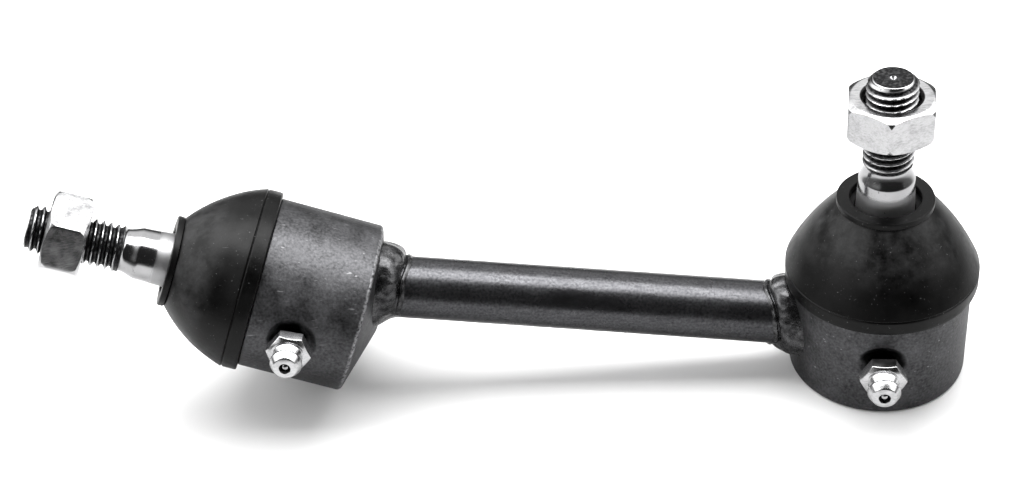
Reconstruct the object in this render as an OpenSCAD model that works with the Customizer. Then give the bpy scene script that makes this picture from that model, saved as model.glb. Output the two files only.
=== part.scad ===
// Greasable stabilizer link: a straight rod with a ball joint welded to each end.
// The right joint stands upright across the rod. The left joint lies almost in line with it.
// Each joint is drawn in its own frame: its end edge at z = 0, its stud towards +z.

/* [Rod and welds] */
// Diameter of the rod
rod_d = 13; // [11:0.5:14]
// Height of the rod's axis above the base, on the right joint's axis
rod_height = 9.5; // [9:0.1:12]
// Distance of the rod's axis from the left joint's axis, at the end of the left housing
rod_offset = 6.9; // [5:0.1:8]
// Gap left between the rod's ends and the housings, inside the welds
root_gap = 0.3; // [0.1:0.1:0.6]
// Height of a weld bead on the housing, above the rod's surface
weld_h = 2.5; // [1.5:0.1:3.5]
// Length of a weld bead along the rod
weld_l = 5; // [3:0.1:6]

/* [Left joint's place] */
// Distance from the right joint's axis to the end edge of the left housing
joint_reach = 108; // [95:0.5:140]
// Angle of the left joint's axis above the floor, in degrees
left_axis_angle = 21.8; // [17:0.1:24]
// Lean of the left stud in its socket, in degrees
left_lean_angle = 7; // [0:0.5:15]
// Direction of that lean about the left joint's axis, in degrees
left_heading_angle = -60; // [-180:5:180]

/* [Housing] */
// Outside diameter of a housing
housing_d = 36; // [35:0.5:40]
// Height from the end edge to the shoulder under the boot
housing_h = 21.9; // [21.6:0.1:26]
// Diameter of the neck inside the boot
neck_d = 32; // [31.5:0.5:33]
// Height of that neck
neck_h = 4.6; // [4.4:0.1:6]
// Thickness of the housing's floor
floor_t = 2.8; // [2.4:0.1:3]
// Width of the housing's edge chamfers
edge_chamfer = 0.6; // [0.3:0.1:1]
// Diameter of the mouth where the rolled lip begins
mouth_d = 21.8; // [21.4:0.1:23]
// Flare of the mouth, on its radius
mouth_flare = 0.7; // [0.3:0.1:1.2]
// Slope of the left housing's conical end, in degrees
cone_angle = 17; // [12:1:22]
// Diameter of the flat at the middle of that end
cone_flat_d = 8; // [4:0.5:10]

/* [Ball and seats] */
// Diameter of the ball
ball_d = 22; // [21:0.5:22.5]
// Depth of the ball's centre below the shoulder under the boot
ball_depth = 6.9; // [6:0.1:7.1]
// Depth of the flat under the ball
ball_flat = 0.6; // [0.3:0.1:1]
// Wall of the bearing seats at the ball's equator
seat_wall = 2.5; // [2:0.1:2.6]
// Running clearance of the ball and the seats, on the radius
running_gap = 0.05; // [0.02:0.01:0.08]
// Gap between the two seats
seat_split = 0.8; // [0.4:0.1:1.2]
// Height of the upper seat's top above the ball's centre
upper_seat_rise = 5.5; // [5:0.1:5.8]
// Height of the closing ring above the upper seat
closing_ring_h = 3; // [2:0.1:3.4]
// Hole in the bottom of the lower seat
seat_hole_d = 11; // [9:0.5:12]
// Height of the preload spring under the lower seat
spring_h = 1.3; // [1.1:0.1:1.5]
// Thickness of the preload spring
spring_t = 0.7; // [0.5:0.1:0.8]
// Width of the preload spring's ring
spring_w = 6; // [4:0.5:6.5]
// Margin between the preload spring's edge and the seat's edge
spring_margin = 1; // [0.5:0.1:1.5]
// Width of the grease groove round the lower seat
groove_w = 2.8; // [2:0.1:3]
// Depth of that groove
groove_depth = 0.8; // [0.4:0.1:1]
// Diameter of the ports from the groove to the ball
port_d = 1.6; // [1:0.1:1.8]

/* [Stud] */
// Diameter of the stud's neck above the ball
stud_neck_d = 11; // [10:0.1:11]
// Height of the seal land above the ball's centre
land_z = 16.5; // [16:0.1:18]
// Length of the seal land
land_l = 7.5; // [6.5:0.1:8]
// Length of the cone under the seal land
land_lead = 1; // [0.5:0.1:2]
// Diameter of the seal land and of the taper's large end
land_d = 11.5; // [11.2:0.1:11.6]
// Length of the right stud's taper
right_taper_l = 7.4; // [6:0.1:14]
// Length of the left stud's taper
left_taper_l = 8.6; // [6:0.1:14]
// Length over which the taper grows by 1 mm on its diameter
taper_ratio = 12; // [10:1:16]
// Length of the shoulder between the taper and the thread
shoulder_l = 3.3; // [1.5:0.1:4]
// Outside diameter of the thread
thread_d = 10; // [8:0.5:10]
// Length of the thread
thread_l = 19.2; // [17:0.1:24]
// Diameter of the flat face at the stud's tip
tip_d = 7.5; // [6:0.1:7.5]
// Width and depth of the centre mark in that face
centre_mark = 1.4; // [0.8:0.1:2]

/* [Nut] */
// Width across the nut's flats
nut_af = 16; // [15:0.5:17]
// Height of the nut
nut_h = 8.2; // [7:0.1:8.4]
// Diameter of the flat ring on each end of the nut
nut_face_d = 15.2; // [14:0.1:15.4]
// Width of the countersinks at the ends of the nut's thread
nut_sink = 0.5; // [0.3:0.1:0.8]
// Clearance of the nut on the thread, on the radius
thread_gap = 0.05; // [0.02:0.01:0.1]
// Distance from the right stud's tip to its nut
right_nut_inset = 3.9; // [2:0.1:8]
// Distance from the left stud's tip to its nut
left_nut_inset = 3.7; // [2:0.1:8]
// Turn of the right nut about its stud, in degrees
right_nut_angle = 23; // [0:1:60]
// Turn of the left nut about its stud, in degrees
left_nut_angle = 21; // [0:1:60]

/* [Boot] */
// Outside diameter of the boot's rim
boot_d = 38.4; // [37.8:0.2:44]
// Height of the straight rim
rim_h = 3.4; // [3:0.1:4]
// Thickness of the rubber
boot_wall = 2; // [1.5:0.1:2.4]
// Radius of the right dome's section
right_dome_r = 50; // [26:1:120]
// Radius of the left dome's section, which the leaning stud presses rounder
left_dome_r = 31; // [26:1:120]
// Height of the boot's top face above the ball's centre
boot_top = 26.5; // [25.8:0.1:27]
// Diameter of the lip at the boot's top
lip_d = 19; // [18.8:0.1:21]
// Thickness of that lip
lip_t = 1.3; // [1:0.1:1.6]
// Hole in the lip, round the stud
lip_hole_d = 13.8; // [13:0.1:14.4]
// Diameter of the ring inside the boot's neck
neck_ring_d = 16; // [15:0.1:16.2]
// Height of that ring
neck_ring_h = 2.6; // [2:0.1:3]
// Thickness of the ring inside the boot's rim
rim_ring_t = 1.4; // [1:0.1:1.6]
// Height of that ring
rim_ring_h = 2.2; // [1.8:0.1:2.4]
// Width of the chamfer under the rim
rim_chamfer = 0.5; // [0.2:0.1:0.8]
// Depth of the crease between the rim and the dome
crease = 0.25; // [0.1:0.05:0.4]
// Width of the lip outside the dome
lip_overhang = 0.4; // [0.2:0.1:0.8]
// Height of the rubber lips above the rim's ring and below the neck's ring
hold_h = 1.2; // [0.8:0.1:1.5]
// Clearance of the rubber on what it holds
rubber_gap = 0.1; // [0.08:0.01:0.15]

/* [Grease nipple] */
// Height of the nipple's axis above the end edge
nipple_height = 12.6; // [11:0.1:12.8]
// Direction of the right nipple about its joint's axis, in degrees
right_nipple_angle = -93.9; // [-110:0.1:-70]
// Direction of the left nipple about its joint's axis, in degrees
left_nipple_angle = -83.3; // [-110:0.1:-70]
// Diameter of the flat milled for the nipple
spot_d = 10.5; // [10:0.1:12]
// Depth of that flat at its middle
spot_depth = 0.8; // [0.8:0.05:1]
// Outside diameter of the nipple's thread
nipple_thread_d = 6; // [5:0.5:7]
// Length of the neck between the flat and the nipple's hexagon
nipple_neck_l = 2.7; // [1:0.1:3]
// Width across the flats of the nipple's hexagon
nipple_af = 8; // [7:0.5:8.5]
// Height of the hexagon
nipple_hex_h = 2.9; // [2.4:0.1:4]
// Diameter of the flat ring on the front of the hexagon
nipple_face_d = 7; // [6.6:0.1:7.8]
// Turn of the right nipple's hexagon about its axis, in degrees
right_hex_angle = 30; // [0:1:60]
// Turn of the left nipple's hexagon about its axis, in degrees
left_hex_angle = 0; // [0:1:60]
// Length of the cone from the hexagon's front to the waist
nipple_cone_l = 0.8; // [0.4:0.1:1.4]
// Diameter of the waist behind the head
waist_d = 4.8; // [4:0.1:5.2]
// Length of the waist
waist_l = 0.6; // [0.5:0.1:1.6]
// Diameter of the nipple's head
head_d = 6.5; // [6:0.1:7]
// Length of the cone under the head
head_back_l = 0.5; // [0.4:0.1:1.2]
// Length of the head's cylinder
head_land_l = 0.8; // [0.6:0.1:1.6]
// Length of the cone in front of it
head_front_l = 1.6; // [1.4:0.1:2.6]
// Diameter of the head's front face
head_face_d = 4; // [3.6:0.1:4.6]
// Diameter of the check ball
check_d = 2.1; // [1.8:0.1:2.1]
// Hole that the check ball closes
orifice_d = 1.6; // [1.3:0.1:1.6]
// Length of that hole
orifice_l = 0.6; // [0.4:0.1:0.8]
// Clearance round the check ball, on the radius
check_gap = 0.1; // [0.05:0.01:0.15]
// Wire of the check ball's spring
check_wire = 0.3; // [0.2:0.05:0.35]
// Turns of that spring
check_turns = 6; // [4:1:8]
// Thickness of the stop under that spring
spring_stop_t = 1; // [0.6:0.1:1.4]

/* [Hidden] */
$fn = 72;

// Past every face that a cut goes through
over = 1;
// Contact between pieces that only touch
touch_gap = 0.02;

// Housing and seats
housing_r = housing_d / 2;
ball_height = housing_h - ball_depth;
housing_top = housing_h + neck_h;
seat_r = ball_d / 2 + seat_wall;
bore_r = seat_r + running_gap;
socket_r = ball_d / 2 + running_gap;
lower_seat_z = floor_t + spring_h + 2 * touch_gap;
lower_seat_top = ball_height - seat_split / 2;
upper_seat_z = ball_height + seat_split / 2;
closing_ring_z = ball_height + upper_seat_rise + touch_gap;
lip_z = closing_ring_z + closing_ring_h + touch_gap;
cone_h = (housing_r - cone_flat_d / 2) * tan(cone_angle);

// Left joint: its lower edge rests on the floor that the right housing stands on
left_lift = housing_r * cos(left_axis_angle);

// Rod: from the right joint's axis to its point on the left housing's end plane
rod_end_x = -joint_reach + rod_offset * sin(left_axis_angle);
rod_end_z = left_lift + rod_offset * cos(left_axis_angle);
rod_rise = atan2(rod_end_z - rod_height, -rod_end_x);
rod_l = norm([rod_end_x, rod_end_z - rod_height]);
rod_r = rod_d / 2;
left_weld_z = rod_l - (housing_r - rod_offset) * tan(cone_angle);
right_weld_z = housing_r / cos(rod_rise);

// Stud, measured from the ball's centre
land_top = land_z + land_l;
tip_chamfer = (thread_d - tip_d) / 2;
blend_z = 0.77 * ball_d / 2;
blend_r = 0.6 * ball_d / 2;

function thread_start(taper_l) = land_top + taper_l + shoulder_l;

function stud_tip(taper_l) = thread_start(taper_l) + thread_l;

// Boot, measured from the joint's end edge
rim_top = housing_h + rim_h;
boot_face = ball_height + boot_top;
lip_bottom = boot_face - lip_t;
neck_ring_top = lip_bottom - rubber_gap;
neck_ring_z = neck_ring_top - neck_ring_h;
rim_ring_z = housing_h + (rim_h - rim_ring_h) / 2;
ring_seat_r = neck_d / 2 + running_gap;
hold_top = rim_ring_z + rim_ring_h + hold_h;
boot_sides = 60;
dome_steps = 9;

// Nipple, measured from the flat that it seats on
spot_r = housing_r - spot_depth;
hex_top = nipple_neck_l + nipple_hex_h;
waist_z = hex_top + nipple_cone_l;
waist_top = waist_z + waist_l;
head_back = waist_top + head_back_l;
head_land = head_back + head_land_l;
nipple_l = head_land + head_front_l;
check_bore_r = check_d / 2 + check_gap;
check_seat_z = nipple_l - orifice_l;
check_z = check_seat_z - sqrt(pow(check_d / 2, 2) - pow(orifice_d / 2, 2)) - touch_gap;
nipple_root_z = bore_r - spot_r;
spring_stop_z = nipple_root_z + spring_stop_t;
check_spring_top = check_z - check_d / 2 - touch_gap;
check_spring_l = check_spring_top - spring_stop_z - touch_gap;

// Places of the two joints, their studs and their nipples

module at_left() {
    translate([-joint_reach, 0, left_lift])
        rotate([0, left_axis_angle - 90, 0])
            children();
}

module at_stud(lean, heading) {
    translate([0, 0, ball_height])
        rotate([0, 0, heading])
            rotate([0, lean, 0])
                rotate([0, 0, -heading])
                    children();
}

module at_nipple(turn) {
    rotate([0, 0, turn])
        translate([spot_r, 0, nipple_height])
            rotate([0, 90, 0])
                children();
}

module along_rod() {
    translate([0, 0, rod_height])
        rotate([0, rod_rise - 90, 0])
            children();
}

// Outside of a housing, used for the housing itself and to trim what is welded to it.
module housing_outside(cone, grow) {
    r = housing_r + grow;
    end = cone ? -cone_h - grow : -grow;
    end_r = cone ? cone_flat_d / 2 : r - edge_chamfer;
    edge = cone ? -grow : edge_chamfer - grow;
    rotate_extrude()
        polygon([
            [0, end], [end_r, end], [r, edge], [r, housing_h],
            [neck_d / 2, housing_h], [neck_d / 2, housing_top - edge_chamfer],
            [neck_d / 2 - edge_chamfer, housing_top], [0, housing_top]
        ]);
}

// Forged cup with a rolled lip over the closing ring and a tapped hole for the nipple.
module housing(cone, nipple_turn) {
    difference() {
        housing_outside(cone, 0);
        rotate_extrude()
            polygon([
                [0, floor_t], [bore_r, floor_t], [bore_r, lip_z], [mouth_d / 2, lip_z],
                [mouth_d / 2 + mouth_flare, housing_top], [mouth_d / 2 + mouth_flare, housing_top + over],
                [0, housing_top + over]
            ]);
        at_nipple(nipple_turn)
            cylinder(d = spot_d, h = spot_depth + over);
        at_nipple(nipple_turn)
            translate([0, 0, nipple_root_z - over])
                cylinder(d = nipple_thread_d + 2 * touch_gap, h = over - nipple_root_z + over);
    }
}

// Coned disc spring that presses the lower seat on the ball.
module preload_spring() {
    outer = seat_r - spring_margin;
    inner = outer - spring_w;
    low = floor_t + touch_gap;
    rise = spring_h - spring_t;
    rotate_extrude()
        polygon([
            [inner, low + rise], [outer, low], [outer, low + spring_t], [inner, low + rise + spring_t]
        ]);
}

// Lower bearing seat, free to turn in the housing, with a grease groove and four ports.
module lower_seat() {
    groove_r = seat_r - groove_depth;
    difference() {
        translate([0, 0, lower_seat_z])
            cylinder(r = seat_r, h = lower_seat_top - lower_seat_z);
        translate([0, 0, ball_height])
            sphere(r = socket_r);
        cylinder(d = seat_hole_d, h = ball_height);
        translate([0, 0, nipple_height - groove_w / 2])
            difference() {
                cylinder(r = seat_r + over, h = groove_w);
                translate([0, 0, -over])
                    cylinder(r = groove_r, h = groove_w + 2 * over);
            }
        for (turn = [0 : 90 : 270])
            rotate([0, 0, turn])
                translate([0, 0, nipple_height])
                    rotate([0, 90, 0])
                        cylinder(d = port_d, h = seat_r + over);
    }
}

// Upper bearing seat, which keeps the ball in.
module upper_seat() {
    difference() {
        translate([0, 0, upper_seat_z])
            cylinder(r = seat_r, h = closing_ring_z - touch_gap - upper_seat_z);
        translate([0, 0, ball_height])
            sphere(r = socket_r);
    }
}

// Steel ring under the housing's rolled lip, coned to let the stud lean.
module closing_ring() {
    low_r = sqrt(pow(socket_r, 2) - pow(upper_seat_rise, 2));
    rotate_extrude()
        polygon([
            [low_r, closing_ring_z], [seat_r, closing_ring_z],
            [seat_r, closing_ring_z + closing_ring_h], [mouth_d / 2, closing_ring_z + closing_ring_h]
        ]);
}

// Ball, neck, seal land, taper, shoulder and thread, turned from one bar.
module ball_stud(taper_l) {
    thread_z = thread_start(taper_l);
    tip_z = stud_tip(taper_l);
    taper_d = land_d - taper_l / taper_ratio;
    difference() {
        union() {
            sphere(d = ball_d);
            rotate_extrude()
                polygon([
                    [0, 0], [blend_r, 0], [blend_r, blend_z], [stud_neck_d / 2, ball_d / 2],
                    [stud_neck_d / 2, land_z - land_lead], [land_d / 2, land_z], [land_d / 2, land_top],
                    [taper_d / 2, land_top + taper_l], [thread_d / 2 - tip_chamfer / 2, thread_z],
                    [thread_d / 2, thread_z], [thread_d / 2, tip_z - tip_chamfer],
                    [tip_d / 2, tip_z], [centre_mark / 2, tip_z],
                    [0, tip_z - centre_mark / 2]
                ]);
        }
        translate([0, 0, ball_flat - 1.5 * ball_d])
            cylinder(d = ball_d, h = ball_d);
    }
}

// Hexagon nut with both ends turned to a cone.
module nut(taper_l, inset, turn) {
    corner_r = nut_af / 2 / cos(30);
    face_r = nut_face_d / 2;
    side_r = corner_r + over;
    slope_h = (side_r - face_r) * tan(30);
    bore = thread_d / 2 + thread_gap;
    translate([0, 0, stud_tip(taper_l) - inset - nut_h])
        difference() {
            intersection() {
                rotate([0, 0, turn])
                    cylinder(r = corner_r, h = nut_h, $fn = 6);
                rotate_extrude()
                    polygon([
                        [0, 0], [face_r, 0], [side_r, slope_h], [side_r, nut_h - slope_h],
                        [face_r, nut_h], [0, nut_h]
                    ]);
            }
            rotate_extrude()
                polygon([
                    [0, -over], [bore + nut_sink + over, -over], [bore, nut_sink], [bore, nut_h - nut_sink],
                    [bore + nut_sink + over, nut_h + over], [0, nut_h + over]
                ]);
        }
}

// Section of the boot: [radius, height], round the outside and back along the inside.
function dome_point(t, dome_r) =
    let (
        low = [boot_d / 2, rim_top],
        high = [lip_d / 2 - lip_overhang, lip_bottom],
        chord = high - low,
        half = norm(chord) / 2,
        out = [chord[1], -chord[0]] / (2 * half),
        middle = (low + high) / 2 - out * sqrt(pow(dome_r, 2) - pow(half, 2)),
        spread = asin(half / dome_r),
        turn = (2 * t - 1) * spread
    )
    middle + dome_r * (out * cos(turn) + chord / (2 * half) * sin(turn));

// Inside of the dome: the same arc, one wall further in.
function inner_point(t, dome_r) =
    let (
        p = dome_point(t, dome_r),
        ahead = dome_point(t + 0.01, dome_r) - p,
        out = [ahead[1], -ahead[0]] / norm(ahead)
    )
    p - boot_wall * out;

function boot_section(dome_r) =
    let (
        hold = ring_seat_r + rubber_gap,
        pocket = ring_seat_r + rim_ring_t + rubber_gap,
        pocket_low = rim_ring_z - rubber_gap,
        pocket_high = rim_ring_z + rim_ring_h + rubber_gap,
        neck = neck_ring_d / 2 + rubber_gap,
        sill = neck_ring_z - rubber_gap,
        seat = housing_h + touch_gap
    )
    concat(
        [[hold, seat], [boot_d / 2 - rim_chamfer, seat], [boot_d / 2, seat + rim_chamfer]],
        [[boot_d / 2, rim_top - 2 * crease], [boot_d / 2 - crease, rim_top - crease]],
        [for (i = [0 : dome_steps]) dome_point(i / dome_steps, dome_r)],
        [[lip_d / 2, lip_bottom], [lip_d / 2, boot_face], [lip_hole_d / 2, boot_face]],
        [[lip_hole_d / 2, lip_bottom], [neck, lip_bottom], [neck, sill]],
        [[lip_hole_d / 2, sill], [lip_hole_d / 2 + lip_overhang, sill - hold_h]],
        [for (i = [dome_steps - 3 : -1 : 1]) inner_point(i / dome_steps, dome_r)],
        [[hold, hold_top], [hold, pocket_high], [pocket, pocket_high]],
        [[pocket, pocket_low], [hold, pocket_low]]
    );

// Share of the stud's lean that the rubber follows at a height: none at the rim, all at the neck.
function follow(z) =
    let (t = max(0, min(1, (z - hold_top) / (neck_ring_z - 2 * hold_h - hold_top))))
    t * t * (3 - 2 * t);

// A point of the section turned to an angle and bent towards the leaning stud.
function bent_point(p, angle, lean, turn) =
    let (
        bend = lean * follow(p[1]),
        x = p[0] * cos(angle - turn),
        y = p[0] * sin(angle - turn),
        z = p[1] - ball_height,
        bx = x * cos(bend) + z * sin(bend),
        bz = z * cos(bend) - x * sin(bend)
    )
    [bx * cos(turn) - y * sin(turn), bx * sin(turn) + y * cos(turn), bz + ball_height];

// Rubber boot: held in the rim by one steel ring and round the stud by another.
module boot(dome_r, lean, turn) {
    section = boot_section(dome_r);
    rings = len(section);
    points = [
        for (p = section)
            for (i = [0 : boot_sides - 1])
                bent_point(p, i * 360 / boot_sides, lean, turn)
    ];
    faces = [
        for (k = [0 : rings - 1])
            for (i = [0 : boot_sides - 1])
                let (
                    a = k * boot_sides + i,
                    b = k * boot_sides + (i + 1) % boot_sides,
                    c = (k + 1) % rings * boot_sides + (i + 1) % boot_sides,
                    d = (k + 1) % rings * boot_sides + i
                )
                each [[a, c, b], [a, d, c]]
    ];
    polyhedron(points, faces);
}

// Steel ring moulded into the boot's rim, pushed on the housing's neck.
module rim_ring() {
    translate([0, 0, rim_ring_z])
        difference() {
            cylinder(r = ring_seat_r + rim_ring_t, h = rim_ring_h);
            translate([0, 0, -over])
                cylinder(r = ring_seat_r, h = rim_ring_h + 2 * over);
        }
}

// Ring inside the boot's neck, which the stud turns in.
module neck_ring() {
    translate([0, 0, neck_ring_z - ball_height])
        difference() {
            cylinder(d = neck_ring_d, h = neck_ring_h);
            translate([0, 0, -over])
                cylinder(r = land_d / 2 + running_gap, h = neck_ring_h + 2 * over);
        }
}

// Grease nipple: thread, hexagon, cone, waist and coned head round a stepped hole.
module nipple() {
    hex_r = nipple_af / 2 / cos(30);
    side_r = hex_r + over;
    slope_h = (side_r - nipple_face_d / 2) * tan(30);
    difference() {
        union() {
            translate([0, 0, nipple_root_z])
                cylinder(d = nipple_thread_d, h = nipple_neck_l + over - nipple_root_z);
            intersection() {
                translate([0, 0, nipple_neck_l])
                    cylinder(r = hex_r, h = nipple_hex_h, $fn = 6);
                rotate_extrude()
                    polygon([
                        [0, 0], [side_r, 0], [side_r, hex_top - slope_h],
                        [nipple_face_d / 2, hex_top], [0, hex_top]
                    ]);
            }
            rotate_extrude()
                polygon([
                    [0, hex_top - over], [waist_d / 2, hex_top - over],
                    [nipple_face_d / 2 - touch_gap, hex_top],
                    [waist_d / 2, waist_z], [waist_d / 2, waist_top], [head_d / 2, head_back],
                    [head_d / 2, head_land], [head_face_d / 2, nipple_l], [0, nipple_l]
                ]);
        }
        rotate_extrude()
            polygon([
                [0, nipple_root_z - over], [orifice_d / 2, nipple_root_z - over],
                [orifice_d / 2, spring_stop_z], [check_bore_r, spring_stop_z], [check_bore_r, check_seat_z],
                [orifice_d / 2, check_seat_z], [check_bore_r, nipple_l + touch_gap],
                [0, nipple_l + touch_gap]
            ]);
    }
}

module check_ball() {
    translate([0, 0, check_z])
        sphere(d = check_d);
}

// Helical spring under the check ball, swept as a round wire with closed ends.
module check_spring() {
    sides = 6;
    steps = check_turns * 12;
    coil_r = check_bore_r - check_wire / 2 - check_gap;
    climb = check_spring_l - check_wire;
    points = [
        for (k = [0 : steps])
            for (i = [0 : sides - 1])
                let (
                    turn = k * 30,
                    r = coil_r + check_wire / 2 * cos(i * 360 / sides),
                    z = climb * k / steps + check_wire / 2 * (1 + sin(i * 360 / sides))
                )
                [r * cos(turn), r * sin(turn), spring_stop_z + touch_gap + z]
    ];
    sides_faces = [
        for (k = [0 : steps - 1])
            for (i = [0 : sides - 1])
                let (
                    a = k * sides + i,
                    b = k * sides + (i + 1) % sides
                )
                each [[a, b, b + sides], [a, b + sides, a + sides]]
    ];
    start = [for (i = [sides - 1 : -1 : 0]) i];
    finish = [for (i = [0 : sides - 1]) steps * sides + i];
    polyhedron(points, concat(sides_faces, [start, finish]));
}

// Weld bead round the rod, trimmed to the rod and to the housing that it joins.
module weld_bead(z) {
    along_rod()
        translate([0, 0, z])
            rotate_extrude()
                intersection() {
                    translate([rod_r, 0])
                        scale([weld_h, weld_l])
                            circle(r = 1);
                    translate([rod_r, -weld_l])
                        square([weld_h, 2 * weld_l]);
                }
}

module rod() {
    color("#2b2b2d")
        difference() {
            along_rod()
                cylinder(d = rod_d, h = rod_l);
            housing_outside(false, root_gap);
            at_left()
                housing_outside(true, root_gap);
        }
}

module weld_right() {
    color("#3c3c3e")
        difference() {
            weld_bead(right_weld_z);
            housing_outside(false, 0);
        }
}

module weld_left() {
    color("#3c3c3e")
        difference() {
            weld_bead(left_weld_z);
            at_left()
                housing_outside(true, 0);
        }
}

// Right joint

module housing_right() {
    color("#4a4a4c")
        housing(false, right_nipple_angle);
}

module preload_spring_right() {
    color("#8a8a8c")
        preload_spring();
}

module lower_seat_right() {
    color("#d9d4c4")
        lower_seat();
}

module ball_stud_right() {
    color("#b9b9bb")
        at_stud(0, 0)
            ball_stud(right_taper_l);
}

module upper_seat_right() {
    color("#d9d4c4")
        upper_seat();
}

module closing_ring_right() {
    color("#77777a")
        closing_ring();
}

module rim_ring_right() {
    color("#77777a")
        rim_ring();
}

module boot_right() {
    color("#1d1d1e")
        boot(right_dome_r, 0, 0);
}

module neck_ring_right() {
    color("#242425")
        at_stud(0, 0)
            neck_ring();
}

module nut_right() {
    color("#d6d6d8")
        at_stud(0, 0)
            nut(right_taper_l, right_nut_inset, right_nut_angle);
}

module nipple_right() {
    color("#d2d2d4")
        at_nipple(right_nipple_angle)
            rotate([0, 0, right_hex_angle])
                nipple();
}

module check_ball_right() {
    color("#c8c8ca")
        at_nipple(right_nipple_angle)
            check_ball();
}

module check_spring_right() {
    color("#8a8a8c")
        at_nipple(right_nipple_angle)
            check_spring();
}

// Left joint

module housing_left() {
    color("#4a4a4c")
        at_left()
            housing(true, left_nipple_angle);
}

module preload_spring_left() {
    color("#8a8a8c")
        at_left()
            preload_spring();
}

module lower_seat_left() {
    color("#d9d4c4")
        at_left()
            lower_seat();
}

module ball_stud_left() {
    color("#b9b9bb")
        at_left()
            at_stud(left_lean_angle, left_heading_angle)
                ball_stud(left_taper_l);
}

module upper_seat_left() {
    color("#d9d4c4")
        at_left()
            upper_seat();
}

module closing_ring_left() {
    color("#77777a")
        at_left()
            closing_ring();
}

module rim_ring_left() {
    color("#77777a")
        at_left()
            rim_ring();
}

module boot_left() {
    color("#1d1d1e")
        at_left()
            boot(left_dome_r, left_lean_angle, left_heading_angle);
}

module neck_ring_left() {
    color("#242425")
        at_left()
            at_stud(left_lean_angle, left_heading_angle)
                neck_ring();
}

module nut_left() {
    color("#d6d6d8")
        at_left()
            at_stud(left_lean_angle, left_heading_angle)
                nut(left_taper_l, left_nut_inset, left_nut_angle);
}

module nipple_left() {
    color("#d2d2d4")
        at_left()
            at_nipple(left_nipple_angle)
                rotate([0, 0, left_hex_angle])
                    nipple();
}

module check_ball_left() {
    color("#c8c8ca")
        at_left()
            at_nipple(left_nipple_angle)
                check_ball();
}

module check_spring_left() {
    color("#8a8a8c")
        at_left()
            at_nipple(left_nipple_angle)
                check_spring();
}

rod();
weld_right();
weld_left();
housing_right();
preload_spring_right();
lower_seat_right();
ball_stud_right();
upper_seat_right();
closing_ring_right();
rim_ring_right();
boot_right();
neck_ring_right();
nut_right();
nipple_right();
check_ball_right();
check_spring_right();
housing_left();
preload_spring_left();
lower_seat_left();
ball_stud_left();
upper_seat_left();
closing_ring_left();
rim_ring_left();
boot_left();
neck_ring_left();
nut_left();
nipple_left();
check_ball_left();
check_spring_left();
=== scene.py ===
"""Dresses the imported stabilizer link: a rod with a greasable ball joint welded to each end.

Lengths are in millimetres, in the frame of the solids, and become metres where a mesh is made.
The sections follow the link as it is put together, from the housings to the nuts.
"""

import bmesh
import bpy
import numpy as np
from mathutils import Matrix


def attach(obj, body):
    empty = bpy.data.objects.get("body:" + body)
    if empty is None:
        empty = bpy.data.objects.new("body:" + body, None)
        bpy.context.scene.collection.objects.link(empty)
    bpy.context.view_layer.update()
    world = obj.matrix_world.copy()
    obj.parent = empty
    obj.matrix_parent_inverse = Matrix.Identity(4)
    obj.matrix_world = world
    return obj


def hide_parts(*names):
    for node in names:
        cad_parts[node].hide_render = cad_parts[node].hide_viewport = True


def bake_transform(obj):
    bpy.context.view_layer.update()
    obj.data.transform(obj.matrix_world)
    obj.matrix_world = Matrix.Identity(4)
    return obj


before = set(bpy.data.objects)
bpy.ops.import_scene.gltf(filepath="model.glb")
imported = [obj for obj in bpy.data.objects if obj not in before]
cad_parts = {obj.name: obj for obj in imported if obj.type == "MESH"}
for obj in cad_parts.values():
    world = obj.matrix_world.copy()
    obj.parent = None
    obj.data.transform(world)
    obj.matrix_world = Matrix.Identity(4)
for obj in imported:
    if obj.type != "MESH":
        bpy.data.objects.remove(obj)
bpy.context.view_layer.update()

# Housings: two cups forged in steel, turned outside and bored for the ball's seats.
# A dark phosphate coat leaves them satin grey with a fine grain, and a pale line on the end's
# edges is partly bare metal and partly a painted highlight. The left one ends in a shallow cone;
# each has a flat milled for its nipple, with painted shade in black round it.
housing_r = 18.0
housing_h = 21.9
housing_neck_r = 16.0
housing_top = 26.5
housing_bore_r = 13.55
housing_floor = 2.8
housing_lip_z = 23.54
housing_mouth_r = 10.9
base_flat_r = 12.0
cone_flat_r = 4.0
cone_slope = np.tan(np.radians(17))
cone_end = -(housing_r - cone_flat_r) * cone_slope
edge_fillet = {"right": 0.9, "left": 0.8}
edge_rubbing_and_highlight = {"right": 0.35, "left": 1.0}
joint_reach = 108.0
left_rise = 21.8
nipple_height = 12.6
nipple_turn = {"right": -93.9, "left": -83.3}
spot_r = 17.2
spot_half = 4.4
spot_ease = 1.2
# Painted shade round each nipple: how far it is lifted, its radius and the width of its fade.
close_half = 19
grease_lift = 0.6
grease_r = 4.6
grease_fade = 1.1


def turn_about(axis, degrees):
    """Matrix of a turn about the y or z axis, by the right-hand rule."""
    c, s = np.cos(np.radians(degrees)), np.sin(np.radians(degrees))
    if axis == "y":
        return np.array([[c, 0, s], [0, 1, 0], [-s, 0, c]])
    return np.array([[c, -s, 0], [s, c, 0], [0, 0, 1]])


# Each joint's own frame: the housing's end edge at z = 0 and its stud towards +z.
joints = {
    "right": (np.eye(3), np.zeros(3)),
    "left": (
        turn_about("y", left_rise - 90),
        np.array([-joint_reach, 0, housing_r * np.cos(np.radians(left_rise))]),
    ),
}


def place(points, where):
    """Points of a local frame (matrix, origin) in the frame of the solids."""
    return points @ where[0].T + where[1]


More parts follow.
